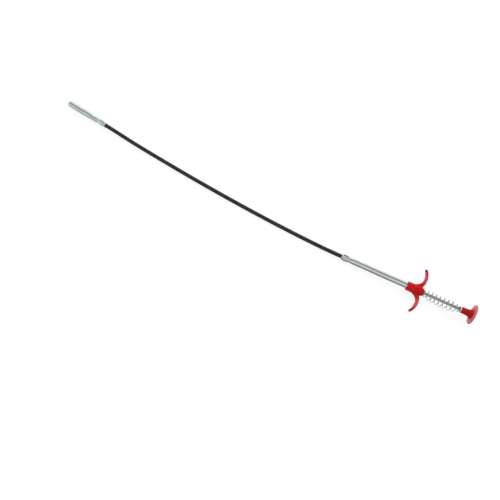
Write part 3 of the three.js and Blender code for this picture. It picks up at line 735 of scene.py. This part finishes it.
grip = {
    # barrel, with a boss behind it, and its bores
    "length": gripRear - gripFront, "radius": 5.65, "bossLength": 1.9, "bossRadius": 4.7,
    "lip": 0.5, "shoulder": 1.4, "bossFoot": 0.4, "tubeSocket": 14, "socketRadius": 4.3, "rodHole": 2.15,
    # horns: the finger hollow's circle and the back's circle, each by its radius and centre
    "finger": 12.4, "fingerBack": 4.5, "fingerBite": 0.25, "back": 20.1, "backStart": 0, "backOut": 15,
    "width": 5.2, "squareness": 2.6,
    "swell": 1.2, "swellAt": math.radians(98), "swellSpread": math.radians(42), "swellAtTip": 0.5,
    "tipAngle": math.radians(139), "tipRound": math.radians(11), "tipWidth": 0.12, "tipThickness": 0.45,
    # skin, and how the bores are cut: a hole kept in the barrel's ends, and how far the cutter stands out
    "voxel": 0.25, "evenness": 0.5, "smoothing": 8, "sharp": 50, "core": 0.4, "cutBeyond": 1,
    "hornRings": 70, "tipRings": 18, "hornSides": 48, "barrelSides": 96, "boreSides": 64,
    # masks: how strong each is, and where it starts and is full, by the height, out from the middle, out
    # from the barrel's side, or along
    # the horns' pink middles are a painted glow, their greyish tips painted shade, and the barrel's deeper red painted
    # shade where less light passes through
    "seamHeight": (0.16, 0.04), "wornAndShaded": 0.75, "tipShadeOut": (23.5, 28), "thin": 0.25, "thinOut": (7, 16),
    "thinEnd": (25, 19), "thickShade": 0.3, "thickShadeOut": (1, -2), "thickShadeAlong": (7.2, 13.2),
}


def gripRoll():
    # how far the grip is rolled about the handle's axis: the slope of its horns by least squares
    onHorns = 15
    points = toAxes(handleAxes, nodePoints("finger_grip"))
    horns = points[np.abs(points[:, 1]) > onHorns]
    return math.atan(np.sum(horns[:, 1] * horns[:, 2]) / np.sum(horns[:, 1] ** 2))


def gripAxes():
    # the handle's axes moved to the grip's front, with the last two turned by the roll
    roll = gripRoll()
    directions = handleAxes[1]
    across = math.cos(roll) * directions[1] + math.sin(roll) * directions[2]
    up = math.cos(roll) * directions[2] - math.sin(roll) * directions[1]
    return handleAxes[0] + gripFront * directions[0], np.array([directions[0], across, up])


def hornRings(way):
    # rounded sections square to the finger hollow's circle, from that circle, less a swell of its middle
    # part, out to a larger one set off centre behind it; each section is a superellipse, and the last ones
    # shrink along a quarter circle
    fingerOut = grip["radius"] - grip["fingerBite"] + grip["finger"]
    tipStart = grip["tipAngle"] - grip["tipRound"]
    tipTurns = tipStart + grip["tipRound"] * np.sin(np.linspace(0, math.pi / 2, grip["tipRings"]))
    turns = np.concatenate([np.linspace(0, tipStart, grip["hornRings"])[:-1], tipTurns])
    ray = np.stack([np.sin(turns), -np.cos(turns)], axis=-1)
    off = np.array([grip["fingerBack"] - grip["backStart"], fingerOut - grip["backOut"]])
    half = ray @ off
    reach = -half + np.sqrt(half ** 2 - off @ off + grip["back"] ** 2)
    end = np.clip((turns - tipStart) / grip["tipRound"], 0, 1)
    shrink = np.maximum(np.sqrt(1 - end ** 2), grip["tipWidth"])
    swelling = rise(turns, grip["swellAt"] - grip["swellSpread"], grip["swellAt"])
    swelling -= (1 - grip["swellAtTip"]) * rise(turns, grip["swellAt"], grip["swellAt"] + grip["swellSpread"])
    inner = grip["finger"] - grip["swell"] * swelling
    thickness = (reach - inner) * (grip["tipThickness"] + (1 - grip["tipThickness"]) * shrink)
    middle = np.array([grip["fingerBack"], fingerOut]) + ((reach + inner) / 2)[:, None] * ray
    angle = circle(grip["hornSides"])
    across, up = (np.sign(part) * np.abs(part) ** (2 / grip["squareness"]) for part in (np.cos(angle), np.sin(angle)))
    inPlane = middle[:, None] + (thickness / 2)[:, None, None] * across[None, :, None] * ray[:, None]
    height = (grip["width"] / 2 * shrink)[:, None] * up
    return np.stack([inPlane[..., 0], way * inPlane[..., 1], height], axis=-1)


def barrelProfile():
    # along the barrel, down its shoulder to the boss, and over the boss's end
    length, shoulder = grip["length"], grip["length"] - grip["bossLength"]
    return filleted([
        (0, grip["core"], 0), (0, grip["radius"], grip["lip"]),
        (shoulder, grip["radius"], grip["shoulder"]), (shoulder, grip["bossRadius"], grip["bossFoot"]),
        (length, grip["bossRadius"], grip["lip"]), (length, grip["core"], 0),
    ])


def boreProfile():
    # the tube's socket, and the rod's hole behind it
    start, end = -grip["cutBeyond"], grip["length"] + grip["cutBeyond"]
    return [
        (start, grip["core"]), (start, grip["socketRadius"]), (grip["tubeSocket"], grip["socketRadius"]),
        (grip["tubeSocket"], grip["rodHole"]), (end, grip["rodHole"]), (end, grip["core"]),
    ]


def evaluated(piece):
    # the piece's mesh with its modifiers worked in
    mesh = bpy.data.meshes.new_from_object(piece.evaluated_get(bpy.context.evaluated_depsgraph_get()))
    piece.modifiers.clear()
    piece.data = mesh


def gripPiece():
    # barrel and horns as overlapping solids, wrapped in one skin and smoothed so that the horns run into
    # the barrel in soft fillets, then bored for the tube and the rod
    axes = gripAxes()
    solids = [
        addSkin("barrel", fromAxes(axes, profileRings(barrelProfile(), grip["barrelSides"]))),
        addSkin("hornLeft", fromAxes(axes, hornRings(1))),
        addSkin("hornRight", fromAxes(axes, hornRings(-1))),
    ]
    with bpy.context.temp_override(active_object=solids[0], selected_editable_objects=solids, selected_objects=solids):
        bpy.ops.object.join()
    piece = solids[0]
    piece.name = "fingerGrip"
    wrap = piece.modifiers.new("wrap", "REMESH")
    wrap.mode, wrap.voxel_size = "VOXEL", grip["voxel"] * mm
    even = piece.modifiers.new("even", "SMOOTH")
    even.factor, even.iterations = grip["evenness"], grip["smoothing"]
    evaluated(piece)
    cutter = addSkin("bore", fromAxes(axes, profileRings(boreProfile(), grip["boreSides"])))
    cut = piece.modifiers.new("cut", "BOOLEAN")
    cut.operation, cut.solver, cut.object = "DIFFERENCE", "EXACT", cutter
    evaluated(piece)
    bpy.data.objects.remove(cutter)
    finishMesh(piece.data, grip["sharp"])
    maskGrip(piece, axes)
    return piece


def maskGrip(piece, axes):
    # masks for the plastic, each a smooth rise over places: the seam in the middle plane, painted shade on the
    # horns' tips, a painted pink glow in their thinner middles, and painted shade in the deeper red of the barrel
    along, across, height = toAxes(axes, meshPoints(piece.data)).T
    out = np.abs(across)
    onBarrel = rise(out - grip["radius"], *grip["thickShadeOut"])
    addAttribute(piece, "seam", rise(np.abs(height), *grip["seamHeight"]))
    # painted shade at the horns' tips
    addAttribute(piece, "wornAndShaded", grip["wornAndShaded"] * rise(out, *grip["tipShadeOut"]))
    # a painted pink glow in the horns' middles
    addAttribute(piece, "thin", grip["thin"] * rise(out, *grip["thinOut"]) * rise(out, *grip["thinEnd"]))
    # painted shade in the thick rear of the barrel, where less light passes through
    addAttribute(piece, "thickShade", grip["thickShade"] * onBarrel * rise(along, *grip["thickShadeAlong"]))


dress(gripPiece(), red, "finger_grip")


# Plunger: button, rod, washer, ferrules

button = {
    "neckRadius": 3.95, "neckLength": 4.5, "neckRound": 0.4, "flareRadius": 6.6, "flareGap": 0.5, "flareFoot": 0.9,
    "discRadius": 12.2, "discThickness": 1.6, "discRound": 0.55, "middleRadius": 1,
    "socketDepth": 9, "socketRadius": 2.1, "socketRound": 0.25, "flareRings": 24, "sides": 160,
    # masks: where each starts and is full, past the flare's radius, the disc's radius, the button's length
    # and its front, and how strong the colours are there
    # the disc's pink is a painted reflection and glow, the neck's and flare's deeper red painted shade, and the rim's
    # greyish red painted shade
    "onDisc": (0.3, 1.5), "atRim": (-1.2, -0.2), "atRear": (-0.7, -0.1), "pastNeck": (2, 10),
    "rimLessGlow": 0.5, "rearLessGlow": 0.85, "neckShade": 0.7, "rearLessShade": 0.75, "rimShade": 0.25,
}


def buttonProfile(length):
    # neck, a flare along a quadratic curve that starts level with the neck, and a thin disc with a round rim
    discFront = length - button["discThickness"]
    neckRadius, discRadius, discRound = button["neckRadius"], button["discRadius"], button["discRound"]
    front = filleted([
        (button["socketDepth"], button["socketRadius"], 0), (0, button["socketRadius"], button["socketRound"]),
        (0, neckRadius, button["neckRound"]), (button["neckLength"], neckRadius, 0),
    ])
    share = np.linspace(0, 1, button["flareRings"])[:, None]
    start = [button["neckLength"], neckRadius]
    turn = [(button["neckLength"] + 2 * discFront) / 3, neckRadius]
    end = [discFront - button["flareGap"], button["flareRadius"]]
    flare = (1 - share) ** 2 * start + 2 * share * (1 - share) * turn + share ** 2 * end
    disc = filleted([
        (discFront, button["flareRadius"] + button["flareFoot"], 0), (discFront, discRadius, discRound),
        (length, discRadius, discRound), (length, discRadius - button["discThickness"], 0),
        (length, button["flareRadius"], 0), (length, button["middleRadius"], 0),
    ])
    return np.concatenate([front, flare[1:], disc])


def buttonPiece():
    # the button's profile turned round the handle's axis, with the masks that its plastic reads: a painted pink
    # reflection and glow on the disc, painted shade on the neck and the flare, and painted shade at the rim
    length = buttonRear - buttonFront
    profile = buttonProfile(length)
    rings = profileRings(profile + [buttonFront, 0], button["sides"])
    piece = addSkin("thumbButton", fromAxes(handleAxes, rings), sharp=50)
    along, radius = np.repeat(profile, button["sides"], axis=0).T
    onDisc = rise(radius - button["flareRadius"], *button["onDisc"])
    rim = rise(radius - button["discRadius"], *button["atRim"])
    rear = rise(along - length, *button["atRear"])
    # painted shade on the neck and the flare, full past the socket where the plastic is thick
    thickShade = button["neckShade"] + (1 - button["neckShade"]) * rise(along, *button["pastNeck"])
    # a painted glow and reflection on the disc, less at the rim and the rear face
    thin = (1 - button["rimLessGlow"] * rim) * (1 - button["rearLessGlow"] * rear)
    addAttribute(piece, "thin", onDisc * thin)
    addAttribute(piece, "thickShade", (1 - onDisc) * thickShade * (1 - button["rearLessShade"] * rear))
    # painted shade at the disc's rim
    addAttribute(piece, "wornAndShaded", button["rimShade"] * rim)
    addAttribute(piece, "seam", np.zeros(len(radius)))
    return piece


def turnedPiece(name, axes, corners, sides=72, joined=False):
    # a filleted profile turned round the first axis
    return addSkin(name, fromAxes(axes, profileRings(filleted(corners), sides)), joined=joined)


rod = {"radius": 1.8, "round": 0.3, "flatEnd": 0.3}
washer = {"radius": 3.7, "bore": 2.15, "round": 0.3}
ferrule = {"radius": 2.7, "round": 0.4, "cableBore": 1.2, "rodBore": 2.1, "rodDepth": 8.3, "boreRound": 0.15}
carrier = {"cupDepth": 1.6, "cupRound": 0.2, "rearRound": 0.4, "bore": 1.2, "boreRound": 0.15, "socket": 6, "core": 0.3}

dress(buttonPiece(), red, "thumb_button")
plungerRod = turnedPiece("plungerRod", handleAxes, [
    (rodFront, rod["flatEnd"], 0), (rodFront, rod["radius"], rod["round"]),
    (rodRear, rod["radius"], rod["round"]), (rodRear, rod["flatEnd"], 0),
])
dress(plungerRod, rodSteel, "plunger_rod")
springWasher = turnedPiece("springWasher", handleAxes, [
    (washerFront, washer["bore"], washer["round"] / 2), (washerFront, washer["radius"], washer["round"]),
    (washerRear, washer["radius"], washer["round"]), (washerRear, washer["bore"], washer["round"] / 2),
], joined=True)
dress(springWasher, nylon, "spring_washer")
rodStop = ferruleRear - ferrule["rodDepth"]
cableFerrule = turnedPiece("cableFerrule", handleAxes, [
    (ferruleFront, ferrule["cableBore"], ferrule["boreRound"]), (ferruleFront, ferrule["radius"], ferrule["round"]),
    (ferruleRear, ferrule["radius"], ferrule["round"]), (ferruleRear, ferrule["rodBore"], ferrule["boreRound"]),
    (rodStop, ferrule["rodBore"], 0), (rodStop, ferrule["cableBore"], 0),
], joined=True)
dress(cableFerrule, zinc, "cable_ferrule")


def carrierMeasures():
    # outer radius of the claws' ferrule, and its cup's, read from its node
    rimBand = 0.05
    points = toAxes(tipAxes, nodePoints("claw_ferrule"))
    radius = np.hypot(points[:, 1], points[:, 2])
    cupRim = radius[points[:, 0] > carrierFront - rimBand]
    return radius.max(), cupRim.min()


carrierRadius, cupRadius = carrierMeasures()
cup, socket = carrierFront - carrier["cupDepth"], carrierRear + carrier["socket"]
clawFerrule = turnedPiece("clawFerrule", tipAxes, [
    (cup, carrier["core"], 0), (cup, cupRadius, carrier["cupRound"]),
    (carrierFront, cupRadius, carrier["cupRound"]), (carrierFront, carrierRadius, carrier["cupRound"]),
    (carrierRear, carrierRadius, carrier["rearRound"]), (carrierRear, carrier["bore"], carrier["boreRound"]),
    (socket, carrier["bore"], 0), (socket, carrier["core"], 0),
])
dress(clawFerrule, zinc, "claw_ferrule")
print("plunger and ferrules made")


# Return spring

spring = {
    "wire": 0.45, "radius": 6.2, "endRadius": 3.2, "turns": 9.75, "phase": 0.57, "endTurns": 0.75, "endPitch": 1.6,
    "sag": 2.6, "gather": 2.2, "gap": 0.3, "stepsPerTurn": 48, "sides": 14,
}


def springPiece():
    # closed turns at both ends and even open ones between; the radius grows from the ends, and the loose
    # middle sags below the axis along the square of a sine
    first = gripRear + spring["gap"] + spring["wire"]
    last = washerFront - spring["gap"] - spring["wire"]
    turns = np.linspace(0, spring["turns"], int(spring["turns"] * spring["stepsPerTurn"]) + 1)
    openTurns = spring["turns"] - 2 * spring["endTurns"]
    pitch = (last - first - 2 * spring["endTurns"] * spring["endPitch"]) / openTurns
    inOpen = np.clip(turns - spring["endTurns"], 0, openTurns)
    along = first + (turns - inOpen) * spring["endPitch"] + inOpen * pitch
    opened = rise(turns, 0, spring["gather"]) * rise(turns, spring["turns"], spring["turns"] - spring["gather"])
    radius = spring["endRadius"] + (spring["radius"] - spring["endRadius"]) * opened
    sag = spring["sag"] * np.sin(math.pi * turns / spring["turns"]) ** 2
    angle = 2 * math.pi * (spring["phase"] - turns)
    outward = np.stack([np.zeros_like(angle), np.cos(angle), np.sin(angle)], axis=-1)
    path = radius[:, None] * outward + np.stack([along, np.zeros_like(sag), -sag], axis=-1)
    path, outward, radii = withRoundEnds(path, outward, spring["wire"], steps=3)
    rings = sweptRings(path, outward, radii, spring["sides"])
    return addSkin("returnSpring", fromAxes(handleAxes, rings), sharp=70)


returnSpring = dress(springPiece(), springSteel, "return_spring")
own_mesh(returnSpring)
print("spring made")


# Claws

claw = {"wire": 0.5, "hook": 1.5, "recess": 1.2, "legRings": 70, "hookRings": 26, "sides": 20}


def clawPath(bundle, rate, reach):
    # straight beside its neighbours, then out along a parabola to the shoulder, then in round an arc:
    # [along, out] pairs from the claw's root
    middle = reach / 2
    furthest = reach - claw["recess"] - claw["wire"]
    shoulder = furthest - claw["hook"] * (1 + 2 * rate * (furthest - middle))
    lean = math.atan(2 * rate * (shoulder - middle))
    along = np.linspace(0, shoulder, claw["legRings"])
    out = bundle + rate * np.maximum(along - middle, 0) ** 2
    centre = np.array([shoulder + claw["hook"] * math.sin(lean), out[-1] - claw["hook"] * math.cos(lean)])
    turn = np.linspace(-lean, math.acos((bundle - centre[1]) / claw["hook"]), claw["hookRings"])[1:]
    arc = centre + claw["hook"] * np.stack([np.sin(turn), np.cos(turn)], axis=-1)
    return np.concatenate([np.column_stack([along, out]), arc])


def clawPiece(number):
    # the claw's path stood on its root, in the plane through the sleeve's axis and the root
    joint = joints[f"claw_{number}_opening"]
    root = toAxes(tipAxes, np.array(joint["pos_m"]) / mm)
    bundle = math.hypot(root[1], root[2])
    outward = np.array([0, root[1], root[2]]) / bundle
    rate = couplings[joint["name"]]["ratio"] * mm
    line = clawPath(bundle, rate, sleeveLength - root[0])
    path = np.outer(line[:, 0] + root[0], [1, 0, 0]) + np.outer(line[:, 1], outward)
    aside = np.tile(np.cross([1, 0, 0], outward), (len(path), 1))
    path, aside, radii = withRoundEnds(path, aside, claw["wire"])
    rings = sweptRings(path, aside, radii, claw["sides"])
    return addSkin(f"clawWire{number}", fromAxes(tipAxes, rings), sharp=70)


for number in range(1, 5):
    dress(clawPiece(number), clawSteel, f"claw_wire_{number}")
print("claws made")


# Floor, light and camera

floorLook = {"reach": 4000, "below": 0.05, "seen": 0.2, "glow": 0.85, "unseen": 0.72}


def grey(value):
    return (value, value, value, 1)


def buildFloor():
    # a wide floor just under the object: to the camera white but for a soft shadow, to other rays a pale
    # grey, and not seen in reflections
    reach, height = floorLook["reach"] * mm, -floorLook["below"] * mm
    corners = [(-reach, -reach, height), (reach, -reach, height), (reach, reach, height), (-reach, reach, height)]
    mesh = bpy.data.meshes.new("floor")
    mesh.from_pydata(corners, [], [(0, 1, 2, 3)])
    piece = bpy.data.objects.new("floor", mesh)
    scene.collection.objects.link(piece)
    material = bpy.data.materials.new("paleFloor")
    material.use_nodes = True
    tree = material.node_tree
    tree.nodes.clear()
    ray = addNode(tree, "ShaderNodeLightPath").outputs
    shaded = addNode(tree, "ShaderNodeBsdfDiffuse", {"Color": grey(floorLook["seen"])}).outputs[0]
    glow = addNode(tree, "ShaderNodeEmission", {"Color": grey(1), "Strength": floorLook["glow"]}).outputs[0]
    seen = addNode(tree, "ShaderNodeAddShader", {0: shaded, 1: glow}).outputs[0]
    unseen = addNode(tree, "ShaderNodeBsdfDiffuse", {"Color": grey(floorLook["unseen"])}).outputs[0]
    whole = addNode(tree, "ShaderNodeMixShader", {0: ray["Is Camera Ray"], 1: unseen, 2: seen}).outputs[0]
    tree.links.new(whole, addNode(tree, "ShaderNodeOutputMaterial").inputs[0])
    mesh.materials.append(material)
    piece.visible_glossy = False


studio = {
    "fill": 0.66, "turn": math.radians(26.6),
    # what metal mirrors, by the angle round a level axis that is turned from the handle's: near side's
    # horizon at 0 and 1, straight down at 0.25, far side's horizon at 0.5, overhead at 0.75
    "mirrored": [
        (0.0, 0.27), (0.125, 0.27), (0.19, 0.85), (0.4, 0.95), (0.5, 1.0), (0.64, 1.0), (0.67, 0.1), (0.72, 0.1),
        (0.76, 0.75), (0.955, 0.8), (0.985, 0.25),
    ],
    "sun": {"strength": 1.1, "angle": 50, "turn": (math.radians(-38), math.radians(-22), 0)},
}


def buildWorld():
    # plain white behind the object, an even fill on it, and broad bright and dark bands in its reflections
    world = bpy.data.worlds.new("studio")
    scene.world = world
    world.use_nodes = True
    tree = world.node_tree
    tree.nodes.clear()
    ray = addNode(tree, "ShaderNodeLightPath").outputs
    view = addNode(tree, "ShaderNodeTexCoord").outputs["Generated"]
    inputs = {"Vector": view, "Rotation": (0, 0, -studio["turn"])}
    turned = addNode(tree, "ShaderNodeMapping", inputs, vector_type="VECTOR").outputs[0]
    direction = addNode(tree, "ShaderNodeSeparateXYZ", {0: turned}).outputs
    turn = calculate(tree, "ARCTAN2", direction[2], direction[1])
    share = addNode(tree, "ShaderNodeMapRange", {0: turn, 1: -math.pi, 2: math.pi}).outputs[0]
    bands = addNode(tree, "ShaderNodeValToRGB", {0: share})
    stops = bands.color_ramp.elements
    for i, (place, value) in enumerate(studio["mirrored"]):
        stop = stops[i] if i < 2 else stops.new(place)
        stop.position, stop.color = place, grey(value)
    mirrored = addNode(tree, "ShaderNodeBackground", {0: bands.outputs[0], 1: 1.0}).outputs[0]
    fill = addNode(tree, "ShaderNodeBackground", {0: grey(1), 1: studio["fill"]}).outputs[0]
    behind = addNode(tree, "ShaderNodeBackground", {0: grey(1), 1: 1.0}).outputs[0]
    unseen = addNode(tree, "ShaderNodeMixShader", {0: ray["Is Glossy Ray"], 1: fill, 2: mirrored}).outputs[0]
    whole = addNode(tree, "ShaderNodeMixShader", {0: ray["Is Camera Ray"], 1: unseen, 2: behind}).outputs[0]
    tree.links.new(whole, addNode(tree, "ShaderNodeOutputWorld").inputs[0])


def buildSun():
    # a wide sun, so that its shadows have no edges; metal doesn't mirror it
    light = bpy.data.lights.new("softKey", "SUN")
    light.energy, light.angle = studio["sun"]["strength"], math.radians(studio["sun"]["angle"])
    lamp = bpy.data.objects.new("softKey", light)
    lamp.rotation_euler = studio["sun"]["turn"]
    lamp.visible_glossy = False
    scene.collection.objects.link(lamp)


# the photograph's viewpoint: millimetres from the tube's mouth and above the floor, and turns in degrees
photoView = {
    "lens": 32.4, "sensor": 36, "fromTube": (-21.8, -271.1), "height": 510.3, "yaw": 20.36, "tilt": 25.27, "roll": 7.41,
}


def buildCamera():
    # a camera moved to its place, then turned by yaw, tilt and roll
    data = bpy.data.cameras.new("photoView")
    data.lens, data.sensor_width = photoView["lens"], photoView["sensor"]
    camera = bpy.data.objects.new("photoView", data)
    scene.collection.objects.link(camera)
    place = np.array([*(handleAxes[0][:2] + photoView["fromTube"]), photoView["height"]])
    matrix = Matrix.Translation(place * mm)
    for key, axis in (("yaw", "Z"), ("tilt", "X"), ("roll", "Z")):
        matrix = matrix @ Matrix.Rotation(math.radians(photoView[key]), 4, axis)
    camera.matrix_world = matrix
    scene.camera = camera


buildFloor()
buildWorld()
buildSun()
buildCamera()
scene.view_settings.view_transform = "Standard"
print("stage made")
